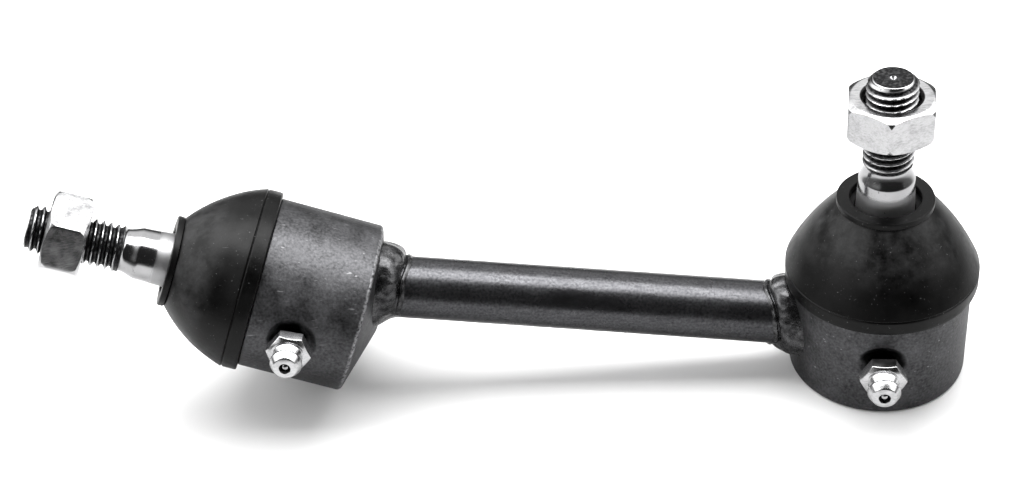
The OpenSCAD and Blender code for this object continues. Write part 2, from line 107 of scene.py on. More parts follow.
def rounded(corners, fillets, closed=True, steps=5):
    """Section with rounded corners: each corner becomes the parabola that leaves one side, and
    meets the next, a fillet's length away from it. Corners are [corner, ..., (radius, height)]."""
    corners = np.asarray(corners, float)
    fillet = np.reshape(fillets, (-1,) + (1,) * (corners.ndim - 1))
    before = np.roll(corners, 1, 0) - corners
    after = np.roll(corners, -1, 0) - corners
    before_l = np.linalg.norm(before, axis=-1, keepdims=True) + 1e-9
    after_l = np.linalg.norm(after, axis=-1, keepdims=True) + 1e-9
    start = corners + before / before_l * np.minimum(fillet, 0.45 * before_l)
    end = corners + after / after_l * np.minimum(fillet, 0.45 * after_l)
    t = np.linspace(0, 1, steps).reshape((1, -1) + (1,) * (corners.ndim - 1))
    curve = (1 - t) ** 2 * start[:, None] + 2 * t * (1 - t) * corners[:, None] + t**2 * end[:, None]
    if closed:
        return curve.reshape(-1, *corners.shape[1:])
    inner = curve[1:-1].reshape(-1, *corners.shape[1:])
    return np.concatenate([corners[:1], inner, corners[-1:]])


def refine(line, step):
    """Same line with points added evenly, so that no span is longer than step (one or per span)."""
    way = np.diff(line, axis=0)
    span = np.linalg.norm(way, axis=-1).reshape(len(way), -1).max(1)
    parts = np.maximum(1, np.ceil(span / step).astype(int))
    which = np.repeat(np.arange(len(way)), parts)
    first = np.repeat(np.cumsum(parts) - parts, parts)
    share = (np.arange(parts.sum()) - first) / np.repeat(parts, parts)
    share = share.reshape((-1,) + (1,) * (line.ndim - 1))
    return np.concatenate([line[:-1][which] + share * way[which], line[-1:]])


def spin(line, angles):
    """Section carried round the z axis: (r cos a, r sin a, z) for each row and each angle."""
    line = line[:, None] if line.ndim == 2 else line
    r, z = line[..., 0], line[..., 1]
    return np.stack([r * np.cos(angles), r * np.sin(angles), z + 0 * angles], -1)


def make_piece(name, points, material, closed=True, sharp=32, marks=None):
    """Mesh of a grid of points: columns join round the piece, and rows join where the section
    is closed. Equal points are merged, which closes the poles. Marks are point attributes."""
    rows, columns = points.shape[:2]
    index = np.arange(rows * columns).reshape(rows, columns)
    low = index if closed else index[:-1]
    high = np.roll(index, -1, 0) if closed else index[1:]
    quads = np.stack([low, np.roll(low, -1, 1), np.roll(high, -1, 1), high], -1).reshape(-1, 4)
    mesh = bpy.data.meshes.new(name)
    mesh.vertices.add(rows * columns)
    mesh.vertices.foreach_set("co", (points / 1000).astype(np.float32).ravel())
    mesh.loops.add(quads.size)
    mesh.loops.foreach_set("vertex_index", quads.astype(np.int32).ravel())
    mesh.polygons.add(len(quads))
    mesh.polygons.foreach_set("loop_start", np.arange(0, quads.size, 4, dtype=np.int32))
    mesh.update(calc_edges=True)
    for mark, values in (marks or {}).items():
        layer = mesh.attributes.new(mark, "FLOAT", "POINT")
        spread = np.broadcast_to(values, (rows, columns)).astype(np.float32)
        layer.data.foreach_set("value", spread.ravel())
    shape = bmesh.new()
    shape.from_mesh(mesh)
    bmesh.ops.remove_doubles(shape, verts=shape.verts, dist=1e-7)
    bmesh.ops.recalc_face_normals(shape, faces=shape.faces)
    shape.to_mesh(mesh)
    shape.free()
    mesh.polygons.foreach_set("use_smooth", np.ones(len(mesh.polygons), bool))
    mesh.set_sharp_from_angle(angle=np.radians(sharp))
    mesh.materials.append(material)
    piece = bpy.data.objects.new(name, mesh)
    bpy.context.scene.collection.objects.link(piece)
    return piece


def linear(colour):
    """Linear RGBA of an sRGB hex colour: a power above 0.04045 and a straight line below."""
    srgb = np.array([int(colour[i : i + 2], 16) for i in (1, 3, 5)]) / 255
    rgb = np.where(srgb <= 0.04045, srgb / 12.92, ((srgb + 0.055) / 1.055) ** 2.4)
    return (*rgb.tolist(), 1.0)


def node(tree, kind, inputs, **settings):
    """Adds a node with its settings. Each input is a value or the output of another node."""
    new = tree.nodes.new("ShaderNode" + kind)
    for name, value in settings.items():
        setattr(new, name, value)
    for key, value in inputs.items():
        if isinstance(value, bpy.types.NodeSocket):
            tree.links.new(value, new.inputs[key])
        else:
            new.inputs[key].default_value = value
    return new


# Zinc phosphate on forged steel, oiled: a crystal grain, drawn as coarse as about 0.5 mm so that
# it shows, over blotches of some 5 mm. Scratches of about 7 mm by 0.7 mm and the end's edges let
# the bright steel through; on the edges this is partly wear and partly a painted highlight.
# Painted shade round the nipple is black.
phosphated_steel = bpy.data.materials.new("phosphated_forged_steel")
phosphated_steel.use_nodes = True
tree = phosphated_steel.node_tree
shader = tree.nodes["Principled BSDF"]
spot = node(tree, "TexCoord", {}).outputs["Object"]
grain = node(tree, "TexNoise", {"Vector": spot, "Scale": 1000 / 0.55, "Detail": 3.0})
blotch = node(
    tree, "TexNoise", {"Vector": spot, "Scale": 1000 / 5.0, "Detail": 5.0, "Roughness": 0.6}
)
tone = node(tree, "Math", {0: grain.outputs[0], 1: blotch.outputs[0]}, operation="ADD")
level = node(tree, "MapRange", {0: tone.outputs[0], 1: 0.66, 2: 1.34})
coat = node(
    tree,
    "Mix",
    {0: level.outputs[0], 6: linear("#323233"), 7: linear("#606062")},
    data_type="RGBA",
)
streak_at = node(
    tree,
    "Mapping",
    {"Vector": spot, "Rotation": (0.5, 0.9, 0.35), "Scale": (150.0, 1500.0, 1500.0)},
)
streak = node(tree, "TexNoise", {"Vector": streak_at.outputs[0], "Scale": 1.0, "Detail": 2.0})
scratch = node(tree, "MapRange", {0: streak.outputs[0], 1: 0.68, 2: 0.78, 3: 0.0, 4: 0.7})
worn_and_highlit = node(tree, "Attribute", {}, attribute_name="worn_and_highlit")
rub = node(tree, "MapRange", {0: grain.outputs[0], 1: 0.35, 2: 0.6})
edge = node(tree, "Math", {0: worn_and_highlit.outputs["Fac"], 1: rub.outputs[0]}, operation="MULTIPLY")
bare_and_highlit = node(tree, "Math", {0: edge.outputs[0], 1: scratch.outputs[0]}, operation="MAXIMUM")
# Bright steel on the scratches, and on the end's edges, where it is also a painted highlight.
rubbed = node(
    tree,
    "Mix",
    {0: bare_and_highlit.outputs[0], 6: coat.outputs[2], 7: linear("#9c9c9e")},
    data_type="RGBA",
)
# Painted shade round the nipple is mixed in as black.
grease = node(tree, "Attribute", {}, attribute_name="grease")
skin = node(
    tree,
    "Mix",
    {0: grease.outputs["Fac"], 6: rubbed.outputs[2], 7: linear("#080808")},
    data_type="RGBA",
)
gloss = node(tree, "MapRange", {0: blotch.outputs[0], 1: 0.3, 2: 0.7, 3: 0.4, 4: 0.58})
bump = node(tree, "Bump", {"Height": tone.outputs[0], "Strength": 0.5, "Distance": 0.00008})
tree.links.new(skin.outputs[2], shader.inputs["Base Color"])
tree.links.new(gloss.outputs[0], shader.inputs["Roughness"])
tree.links.new(bump.outputs[0], shader.inputs["Normal"])
shader.inputs["Metallic"].default_value = 1.0

for side, where in joints.items():
    if side == "left":
        end = [(0.0, cone_end), (cone_flat_r, cone_end)]
    else:
        end = [(0.0, 0.0), (base_flat_r, 0.0)]
    section = end + [
        (housing_r, 0.0),
        (housing_r, housing_h),
        (housing_neck_r, housing_h),
        (housing_neck_r, housing_top),
        (housing_mouth_r + 0.7, housing_top),
        (housing_mouth_r, housing_lip_z),
        (housing_bore_r, housing_lip_z),
        (housing_bore_r, housing_floor),
        (0.0, housing_floor),
    ]
    line = rounded(section, [0.1, 0.5, edge_fillet[side]] + [0.3] * 8, closed=False)
    # Rows stand close together on the wall, and columns round the nipple, for the flat's edge.
    on_wall = line[:, 0] > housing_r - 0.1
    line = refine(line, np.where(on_wall[1:] & on_wall[:-1], 0.14, 1.5))
    middle = np.radians(nipple_turn[side])
    close = np.arange(-close_half, close_half, 0.4)
    apart = np.arange(close_half, 360 - close_half, 2.3)
    points = spin(line, middle + np.radians(np.concatenate([close, apart])))
    # Milled flat: within its circle, whatever stands further out than the flat is cut back to it,
    # and the circle's edge is eased.
    out = np.array([np.cos(middle), np.sin(middle), 0])
    along = points @ out
    across = points - along[..., None] * out - np.array([0, 0, nipple_height])
    inside = (spot_half + spot_ease / 2 - np.linalg.norm(across, axis=-1)) / spot_ease
    cut = np.clip(inside, 0, 1) * np.maximum(along - spot_r, 0)
    points = points - cut[..., None] * out
    # Painted shade, black, lies round the nipple's neck, more above it, with an uneven edge.
    beside = np.linalg.norm(across - np.array([0, 0, grease_lift]), axis=-1)
    bearing = np.arctan2(across[..., 2], across @ np.array([-out[1], out[0], 0]))
    shade_rim = grease_r + 0.3 * np.sin(3 * bearing + 1.0) + 0.25 * np.sin(7 * bearing + 2.0)
    grease = np.clip((shade_rim - beside) / grease_fade, 0, 1) * (along > 0)
    # The coat is lightened within 0.7 mm of the end's edge: partly wear, partly a painted
    # highlight.
    corner = np.hypot(line[:, 0] - housing_r, line[:, 1])
    wear_and_highlight = np.clip(1.4 - corner / 0.5, 0, 1) * edge_rubbing_and_highlight[side]
    marks = {"worn_and_highlit": wear_and_highlight[:, None], "grease": grease}
    cup = place(points, where)
    piece = make_piece(f"forged_housing_{side}", cup, phosphated_steel, closed=False, marks=marks)
    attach(piece, "link")
    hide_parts(f"housing_{side}")

# Rod: drawn round bar, cut to the shape of both housings and blackened after welding.
# Black oxide is thin and oily, so the bar keeps a soft shine with faint lines along it.
rod_r = 6.5
rod_gap = 0.3
rod_start = np.array([0, 0, 9.5])
rod_aim = place(np.array([6.9, 0, 0]), joints["left"])
rod_rise = np.arctan2(rod_aim[2] - rod_start[2], rod_start[0] - rod_aim[0])
rod_way = np.array([-np.cos(rod_rise), 0, np.sin(rod_rise)])
rod_up = np.array([np.sin(rod_rise), 0, np.cos(rod_rise)])


def along_rod(distance, radius, angles):
    """Point at a distance along the rod's axis, and at a radius and an angle from its top."""
    turn = np.cos(angles)[..., None] * rod_up + np.sin(angles)[..., None] * np.array([0, 1, 0])
    return rod_start + distance[..., None] * rod_way + radius[..., None] * turn


def housing_meets(side, radius, angles):
    """Distance along the rod at which a line beside its axis meets a housing: in closed form on
    the right one's cylinder, by halving an interval on the left one's cone."""
    radius, angles = np.broadcast_arrays(radius, angles)
    if side == "right":
        across = np.sqrt(housing_r**2 - (radius * np.sin(angles)) ** 2)
        return (across + radius * np.cos(angles) * np.sin(rod_rise)) / np.cos(rod_rise)
    low, high = np.full(radius.shape, 85.0), np.full(radius.shape, 125.0)
    matrix, origin = joints["left"]
    for _ in range(40):
        half = 0.5 * (low + high)
        local = (along_rod(half, radius, angles) - origin) @ matrix
        inward = housing_r - np.hypot(local[..., 0], local[..., 1])
        depth = np.minimum(inward, housing_r - cone_flat_r)
        past = local[..., 2] + depth * cone_slope > 0
        low, high = np.where(past, low, half), np.where(past, half, high)
    return high


# Oxide black on drawn steel, oiled: specks of about 0.5 mm, faint lines of some 6 mm by 0.5 mm
# along the bar, and clouds of about 8 mm where the oil lies thicker.
black_steel = bpy.data.materials.new("black_oxide_drawn_steel")
black_steel.use_nodes = True
tree = black_steel.node_tree
shader = tree.nodes["Principled BSDF"]
spot = node(tree, "TexCoord", {}).outputs["Object"]
drawn = node(
    tree,
    "Mapping",
    {
        "Vector": spot,
        "Rotation": (0.0, float(-rod_rise), 0.0),
        "Scale": (160.0, 1900.0, 1900.0),
    },
)
lines = node(tree, "TexNoise", {"Vector": drawn.outputs[0], "Scale": 1.0, "Detail": 2.0})
speck = node(tree, "TexNoise", {"Vector": spot, "Scale": 1000 / 0.5, "Detail": 3.0})
cloud = node(tree, "TexNoise", {"Vector": spot, "Scale": 1000 / 8.0, "Detail": 4.0})
faint = node(tree, "Math", {0: lines.outputs[0], 1: 0.35}, operation="MULTIPLY")
tone = node(tree, "Math", {0: faint.outputs[0], 1: speck.outputs[0]}, operation="ADD")
level = node(tree, "MapRange", {0: tone.outputs[0], 1: 0.45, 2: 0.95})
oxide = node(
    tree,
    "Mix",
    {0: level.outputs[0], 6: linear("#343436"), 7: linear("#565658")},
    data_type="RGBA",
)
gloss = node(tree, "MapRange", {0: cloud.outputs[0], 1: 0.3, 2: 0.7, 3: 0.22, 4: 0.34})
bump = node(tree, "Bump", {"Height": tone.outputs[0], "Strength": 0.25, "Distance": 0.00005})
tree.links.new(oxide.outputs[2], shader.inputs["Base Color"])
tree.links.new(gloss.outputs[0], shader.inputs["Roughness"])
tree.links.new(bump.outputs[0], shader.inputs["Normal"])
shader.inputs["Metallic"].default_value = 0.95

angles = np.linspace(0, 2 * np.pi, 128, endpoint=False)[None, :]
cap_r = rod_r * np.linspace(0, 1, 7)[:, None] + 0 * angles
first = housing_meets("right", cap_r, angles) + rod_gap
last = housing_meets("left", cap_r, angles) - rod_gap
share = np.linspace(0, 1, 90)[1:-1, None]
body = first[-1:] * (1 - share) + last[-1:] * share
distance = np.concatenate([first, body, last[::-1]])
radius = np.concatenate([cap_r, np.full(body.shape, rod_r), cap_r[::-1]])
points = along_rod(distance, radius, np.broadcast_to(angles, radius.shape))
piece = make_piece("drawn_rod", points, black_steel, closed=False)
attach(piece, "link")
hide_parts("rod")

# Welds: a bead run by hand round each end of the rod, and blackened with it.
# The metal froze in uneven lumps; a groove and a low second ridge lie where the bead leaves the
# rod, and under the left joint the bead thins to a hollow fillet.
weld_foot = {"right": 5.4, "left": 5.9}
weld_rise = {"right": 2.1, "left": 2.5}
weld_root = 0.4


def bead(side, angles, t):
    """Weld face from its toe on the housing (t = 0) to its toe on the rod (t = 1): a quarter of an
    ellipse and a low ridge beyond it, mixed with a hollow parabola under the rod, and raised by
    waves of unequal length that stand for the frozen lumps. Angle 0 is the rod's top."""
    away = 1 if side == "right" else -1
    under = np.clip(0.5 - 0.75 * np.cos(angles), 0, 1) * (0.25 if side == "right" else 1.0)
    foot = (
        weld_foot[side]
        - 0.9 * under
        + 0.3 * np.sin(2 * angles + 0.7)
        + 0.2 * np.sin(5 * angles + 2.0)
    )
    rise = (
        weld_rise[side]
        + 0.5 * np.cos(angles) * (side == "left")
        - 0.7 * under
        + 0.2 * np.sin(3 * angles + 1.9)
    )
    quarter = np.clip(t / 0.7, 0, 1) * np.pi / 2
    beyond = np.clip((t - 0.7) / 0.3, 0, 1)
    full_d = foot * (0.76 * np.sin(quarter) + 0.24 * beyond)
    full_h = rise * np.cos(quarter) ** 0.9 + 0.4 * np.sin(np.pi * beyond) ** 1.4
    hollow_h = 1.5 * rise * (1 - t) ** 2.2 - 0.3 * np.sin(np.pi * t) ** 3
    distance = (1 - under) * full_d + under * foot * t
    height = (1 - under) * full_h + under * hollow_h
    lumps = (
        0.5 * np.sin(7 * angles + 1.3 * np.sin(3 * angles) + 3 * t)
        + 0.35 * np.sin(13 * angles - 4 * t + 0.5)
        + 0.15 * np.sin(22 * angles + 7 * t + 1.7 * np.sin(2 * angles))
    )
    lift = 0.2 * lumps * np.sin(np.pi * t) ** 0.6 * (1 - 0.5 * under)
    height = height + lift - 0.05 * (t > 0.999)
    start = housing_meets(side, rod_r + np.maximum(height, -0.3), angles)
    return along_rod(start + away * (distance + 0.5 * lift), rod_r + height, angles)


# Weld metal: thin dark scale in clouds of about 2 mm, uneven and shiny, with duller specks of
# about 0.4 mm.
weld_metal = bpy.data.materials.new("oxidised_weld_metal")
weld_metal.use_nodes = True
tree = weld_metal.node_tree
shader = tree.nodes["Principled BSDF"]
spot = node(tree, "TexCoord", {}).outputs["Object"]
scale = node(
    tree, "TexNoise", {"Vector": spot, "Scale": 1000 / 1.8, "Detail": 5.0, "Roughness": 0.6}
)
speck = node(tree, "TexNoise", {"Vector": spot, "Scale": 1000 / 0.4, "Detail": 2.0})
level = node(tree, "MapRange", {0: scale.outputs[0], 1: 0.36, 2: 0.66})
crust = node(
    tree,
    "Mix",
    {0: level.outputs[0], 6: linear("#1f1f20"), 7: linear("#525253")},
    data_type="RGBA",
)
gloss = node(tree, "MapRange", {0: speck.outputs[0], 1: 0.3, 2: 0.7, 3: 0.16, 4: 0.36})
bump = node(tree, "Bump", {"Height": scale.outputs[0], "Strength": 0.4, "Distance": 0.0003})
tree.links.new(crust.outputs[2], shader.inputs["Base Color"])
tree.links.new(gloss.outputs[0], shader.inputs["Roughness"])
tree.links.new(bump.outputs[0], shader.inputs["Normal"])
shader.inputs["Metallic"].default_value = 0.9

angles = np.linspace(0, 2 * np.pi, 400, endpoint=False)[None, :]
across = np.linspace(0, 1, 40)[:, None]
for side in joints:
    away = 1 if side == "right" else -1
    face = bead(side, *np.broadcast_arrays(angles, across))
    root = housing_meets(side, rod_r + 0 * angles, angles)
    buried = along_rod(root + away * weld_root, rod_r - weld_root + 0 * angles, angles)
    points = np.concatenate([face, buried])
    piece = make_piece(f"weld_bead_{side}", points, weld_metal, sharp=60)
    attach(piece, "link")
    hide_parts(f"weld_{side}")

# Inside of the joints: a coned spring washer, two plastic seats round the ball and the steel
# ring that is rolled in over them. The solids have their real shape, and only get a finish.
acetal = bpy.data.materials.new("moulded_acetal")
spring_steel = bpy.data.materials.new("blued_spring_steel")
turned_steel = bpy.data.materials.new("turned_steel")
# Moulded plastic is even and pale, blued spring steel dark and smooth, and turned steel bright
# with a fine grain. The last number is the size of each one's clouds in millimetres.
for material, low, high, metal, rough, size in (
    (acetal, "#d2ccba", "#e4dfd0", 0.0, (0.36, 0.5), 1.5),
    (spring_steel, "#3c3f46", "#6b6e75", 0.9, (0.25, 0.4), 0.8),
    (turned_steel, "#77777a", "#a5a5a8", 1.0, (0.25, 0.42), 0.4),
):
    material.use_nodes = True
    tree = material.node_tree
    shader = tree.nodes["Principled BSDF"]
    spot = node(tree, "TexCoord", {}).outputs["Object"]
    cloud = node(tree, "TexNoise", {"Vector": spot, "Scale": 1000 / size, "Detail": 4.0})
    skin = node(
        tree, "Mix", {0: cloud.outputs[0], 6: linear(low), 7: linear(high)}, data_type="RGBA"
    )
    gloss = node(tree, "MapRange", {0: cloud.outputs[0], 1: 0.3, 2: 0.7, 3: rough[0], 4: rough[1]})
    bump = node(tree, "Bump", {"Height": cloud.outputs[0], "Strength": 0.1, "Distance": 0.00005})
    tree.links.new(skin.outputs[2], shader.inputs["Base Color"])
    tree.links.new(gloss.outputs[0], shader.inputs["Roughness"])
    tree.links.new(bump.outputs[0], shader.inputs["Normal"])
    shader.inputs["Metallic"].default_value = metal
for name, material in (
    ("preload_spring", spring_steel),
    ("lower_seat", acetal),
    ("upper_seat", acetal),
    ("closing_ring", turned_steel),
    ("rim_ring", turned_steel),
    ("check_spring", spring_steel),
):
    for side in joints:
        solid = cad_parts[f"{name}_{side}"]
        solid.data.materials.clear()
        solid.data.materials.append(material)

# Ball studs: forged and turned in one piece, ground on the ball and the taper, with a rolled
# M10 thread. The ground steel is bright; it is darker in the thread's roots, and dark on the sawn
# tip.
ball_r = 11.0
ball_flat_z = -10.4
ball_neck_z = 8.6
ball_height = 15.0
lean_angle = 7
lean_turn = -60
left_lean = turn_about("z", lean_turn) @ turn_about("y", lean_angle) @ turn_about("z", -lean_turn)
studs = {}
for side, (matrix, origin) in joints.items():
    lean = left_lean if side == "left" else np.eye(3)
    studs[side] = (matrix @ lean, origin + matrix[:, 2] * ball_height)
taper_top = {"right": 31.4, "left": 32.6}
tip_z = {"right": 53.9, "left": 55.1}
thread_l = 19.2
thread_pitch = 1.5
thread_depth = 0.9
crest_r = 4.9
rubbed_top = 29.5
rubbed_fade = 0.8


def thread_height(z, angles):
    """Height of a right-hand thread above its root, from 0 to 1: a triangle wave that climbs one
    pitch per turn, cut flat over an eighth of the pitch at the crest and a quarter at the root."""
    wave = np.abs(2 * np.mod(z / thread_pitch - angles / (2 * np.pi), 1) - 1)
    return np.clip((wave - 0.25) / 0.625, 0, 1)


# Ground steel: bright, with pits of about 0.6 mm. Soil_and_shade is 1 where the steel is coloured
# dark, and dull is 1 where the boot has rubbed the shine off.
ground_steel = bpy.data.materials.new("ground_steel_oiled")
ground_steel.use_nodes = True
tree = ground_steel.node_tree
shader = tree.nodes["Principled BSDF"]
spot = node(tree, "TexCoord", {}).outputs["Object"]
fleck = node(tree, "TexNoise", {"Vector": spot, "Scale": 1000 / 0.6, "Detail": 4.0})
stain = node(tree, "TexNoise", {"Vector": spot, "Scale": 1000 / 3.0, "Detail": 3.0})
soil_and_shade = node(tree, "Attribute", {}, attribute_name="soil_and_shade")
patchy = node(tree, "MapRange", {0: fleck.outputs[0], 1: 0.3, 2: 0.55, 3: 0.85, 4: 1.0})
dark_patches = node(tree, "Math", {0: soil_and_shade.outputs["Fac"], 1: patchy.outputs[0]}, operation="MULTIPLY")
pit = node(tree, "MapRange", {0: fleck.outputs[0], 1: 0.28, 2: 0.34, 3: 0.7, 4: 0.0})
dark = node(tree, "Math", {0: dark_patches.outputs[0], 1: pit.outputs[0]}, operation="MAXIMUM")
metal = node(
    tree,
    "Mix",
    {0: stain.outputs[0], 6: linear("#989899"), 7: linear("#b6b6b7")},
    data_type="RGBA",
)
skin = node(
    tree,
    "Mix",
    {0: dark.outputs[0], 6: metal.outputs[2], 7: linear("#1a1a1b")},
    data_type="RGBA",
)
dull = node(tree, "Attribute", {}, attribute_name="dull")
matt = node(tree, "Math", {0: dark.outputs[0], 1: dull.outputs["Fac"]}, operation="MAXIMUM")
gloss = node(tree, "MapRange", {0: matt.outputs[0], 1: 0.0, 2: 1.0, 3: 0.13, 4: 0.46})
bump = node(tree, "Bump", {"Height": fleck.outputs[0], "Strength": 0.12, "Distance": 0.00004})
tree.links.new(skin.outputs[2], shader.inputs["Base Color"])
tree.links.new(gloss.outputs[0], shader.inputs["Roughness"])
tree.links.new(bump.outputs[0], shader.inputs["Normal"])
shader.inputs["Metallic"].default_value = 1.0

fall = np.linspace(np.arccos(ball_flat_z / ball_r), np.arccos(ball_neck_z / ball_r), 60)
ball = np.stack([ball_r * np.sin(fall), ball_r * np.cos(fall)], -1)
angles = np.linspace(0, 2 * np.pi, 128, endpoint=False)[None, :]
for side, where in studs.items():
    top, tip = taper_top[side], tip_z[side]
    thread_z = tip - thread_l
    # Section from the ball's neck to the tip: radius, and height above the ball's centre.
    shank = [
        (5.5, 11.2),
        (5.5, 15.5),
        (5.75, 16.5),
        (5.75, 24.0),
        (5.75 - (top - 24) / 24, top),
        (4.72, top + 1.7),
        (4.4, thread_z - 0.3),
        (crest_r, thread_z + 0.4),
        (crest_r, tip - 1.2),
        (3.75, tip),
        (0.7, tip),
        (0.0, tip - 0.7),
    ]
    corners = np.concatenate([[(0.0, ball[0, 1])], ball, shank])
    shank_fillets = [1.2, 0.5, 0.5, 1.0, 0.3, 0.9, 0.5, 0.15, 0.15, 0.12, 0.1, 0.1]
    line = rounded(corners, [0.1] * (len(ball) + 1) + shank_fillets, closed=False)
    height = 0.5 * (line[1:, 1] + line[:-1, 1])
    line = refine(line, np.where(height > thread_z - 0.2, 0.08, 0.5))
    z = line[:, 1:] + 0 * angles
    depth = thread_depth * np.clip((z - thread_z) / 1.6, 0, 1)
    crest = thread_height(z, angles)
    threaded = (z > thread_z) & (line[:, :1] > 3.9)
    r = np.where(threaded, np.minimum(line[:, :1], crest_r - depth * (1 - crest)), line[:, :1])
    on_tip = (z > tip - 0.05) & (r < 3.7)
    # The thread is darker in its roots, and the sawn tip is dark.
    soil_and_shade = np.where(threaded, np.clip(2.0 - 2.0 * crest, 0, 1), 0) + np.where(on_tip, 1.0, 0)
    dull = np.clip((rubbed_top - z) / rubbed_fade, 0, 1)
    points = place(spin(np.stack([r, z], -1), angles), where)
    marks = {"soil_and_shade": soil_and_shade, "dull": dull}
    piece = make_piece(
        f"threaded_stud_{side}", points, ground_steel, closed=False, sharp=40, marks=marks
    )
    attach(piece, f"{side}_stud")
    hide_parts(f"ball_stud_{side}")

# Boots: moulded rubber bells. A wire ring in the rim's bead holds each on its housing, and a
# plastic collar in the neck holds it on the stud, which turns in it. The lip stands proud.
boot_rim_r = 19.2
boot_low = 21.92
boot_rim_top = 25.3
boot_lip_r = 9.5
boot_lip_low = 40.2
boot_top = 41.5
boot_skirt_r = 16.15
boot_wall = 2.0
bead_top = 25.9
ring_r = 17.55
neck_r = 6.9
neck_low = 36.2
lean_top = 35.1
groove_r = 8.1
groove_low = 37.4
dome_r = {"right": 50.0, "left": 31.0}
dust_sheen_low = 30.0
dust_sheen_fade = 6.0
dust_sheen_top = 40.0


def dome(side, t, wall=0.0):
    """Arc of the dome's radius from the rim (t = 0) to the lip (t = 1), moved in by a wall."""
    radius = dome_r[side]
    low = np.array([boot_rim_r, boot_rim_top])
    high = np.array([boot_lip_r - 0.4, boot_lip_low])
    chord = high - low
    half = np.linalg.norm(chord) / 2
    out = np.array([chord[1], -chord[0]]) / (2 * half)
    middle = (low + high) / 2 - out * np.sqrt(radius**2 - half**2)
    turn = ((2 * t - 1) * np.arcsin(half / radius))[:, None]
    return middle + (radius - wall) * (out * np.cos(turn) + chord / (2 * half) * np.sin(turn))


def lean_with_stud(points, side):
    """Boot points turned about the ball's centre by a share of the stud's lean: none at the rim,
    all of it at the neck, and a smooth step in between."""
    if side == "right":
        return points
    t = np.clip((points[..., 2] - bead_top) / (lean_top - bead_top), 0, 1)
    lean = np.radians(lean_angle) * t * t * (3 - 2 * t)
    local = (points - np.array([0, 0, ball_height])) @ turn_about("z", lean_turn)
    x, y, z = np.moveaxis(local, -1, 0)
    leant_x = x * np.cos(lean) + z * np.sin(lean)
    leant_z = z * np.cos(lean) - x * np.sin(lean)
    bent = np.stack([leant_x, y, leant_z], -1)
    return bent @ turn_about("z", lean_turn).T + np.array([0, 0, ball_height])


# Chloroprene rubber: deep black and a little oily, with pale specks of about 0.5 mm and a few
# scuffs some 4 mm long. A pale film in clouds of about 5 mm on the upper half is partly dust and
# partly a painted sheen.
boot_rubber = bpy.data.materials.new("moulded_chloroprene_rubber")
boot_rubber.use_nodes = True
tree = boot_rubber.node_tree
shader = tree.nodes["Principled BSDF"]
spot = node(tree, "TexCoord", {}).outputs["Object"]
dust = node(
    tree, "TexNoise", {"Vector": spot, "Scale": 1000 / 5.0, "Detail": 8.0, "Roughness": 0.7}
)
pore = node(tree, "TexNoise", {"Vector": spot, "Scale": 1000 / 0.45, "Detail": 3.0})
scuff_at = node(
    tree,
    "Mapping",
    {"Vector": spot, "Rotation": (0.3, 0.2, 0.9), "Scale": (260.0, 1200.0, 700.0)},
)
scuffed = node(tree, "TexNoise", {"Vector": scuff_at.outputs[0], "Scale": 1.0, "Detail": 3.0})
scuff = node(tree, "MapRange", {0: scuffed.outputs[0], 1: 0.75, 2: 0.82, 3: 0.0, 4: 1.0})
speck = node(tree, "MapRange", {0: pore.outputs[0], 1: 0.69, 2: 0.75, 3: 0.0, 4: 0.6})
# Painted sheen and dust: a pale film in clouds, only on the upper half.
sheen_and_dust_haze = node(tree, "MapRange", {0: dust.outputs[0], 1: 0.42, 2: 0.68, 3: 0.0, 4: 0.17})
sheen_and_dust_mask = node(tree, "Attribute", {}, attribute_name="sheen_and_dust_mask")
sheen_and_dust_film = node(tree, "Math", {0: sheen_and_dust_haze.outputs[0], 1: sheen_and_dust_mask.outputs["Fac"]}, operation="MULTIPLY")
marks = node(tree, "Math", {0: scuff.outputs[0], 1: speck.outputs[0]}, operation="MAXIMUM")
grey = node(tree, "Math", {0: sheen_and_dust_film.outputs[0], 1: marks.outputs[0]}, operation="MAXIMUM")
skin = node(
    tree,
    "Mix",
    {0: grey.outputs[0], 6: linear("#020202"), 7: linear("#6a6a6b")},
    data_type="RGBA",
)
gloss = node(tree, "MapRange", {0: dust.outputs[0], 1: 0.32, 2: 0.68, 3: 0.27, 4: 0.5})
bump = node(tree, "Bump", {"Height": pore.outputs[0], "Strength": 0.25, "Distance": 0.00006})
tree.links.new(skin.outputs[2], shader.inputs["Base Color"])
tree.links.new(gloss.outputs[0], shader.inputs["Roughness"])
tree.links.new(bump.outputs[0], shader.inputs["Normal"])
shader.inputs["Specular IOR Level"].default_value = 0.15

# Glass-filled nylon of the collar: dull black with a fine mould grain.
collar_nylon = bpy.data.materials.new("moulded_black_nylon")
collar_nylon.use_nodes = True
tree = collar_nylon.node_tree
shader = tree.nodes["Principled BSDF"]
spot = node(tree, "TexCoord", {}).outputs["Object"]
grain = node(tree, "TexNoise", {"Vector": spot, "Scale": 1000 / 0.4, "Detail": 2.0})
skin = node(
    tree,
    "Mix",
    {0: grain.outputs[0], 6: linear("#060606"), 7: linear("#101011")},
    data_type="RGBA",
)
bump = node(tree, "Bump", {"Height": grain.outputs[0], "Strength": 0.15, "Distance": 0.00004})
tree.links.new(skin.outputs[2], shader.inputs["Base Color"])
tree.links.new(bump.outputs[0], shader.inputs["Normal"])
shader.inputs["Roughness"].default_value = 0.5
shader.inputs["Specular IOR Level"].default_value = 0.15

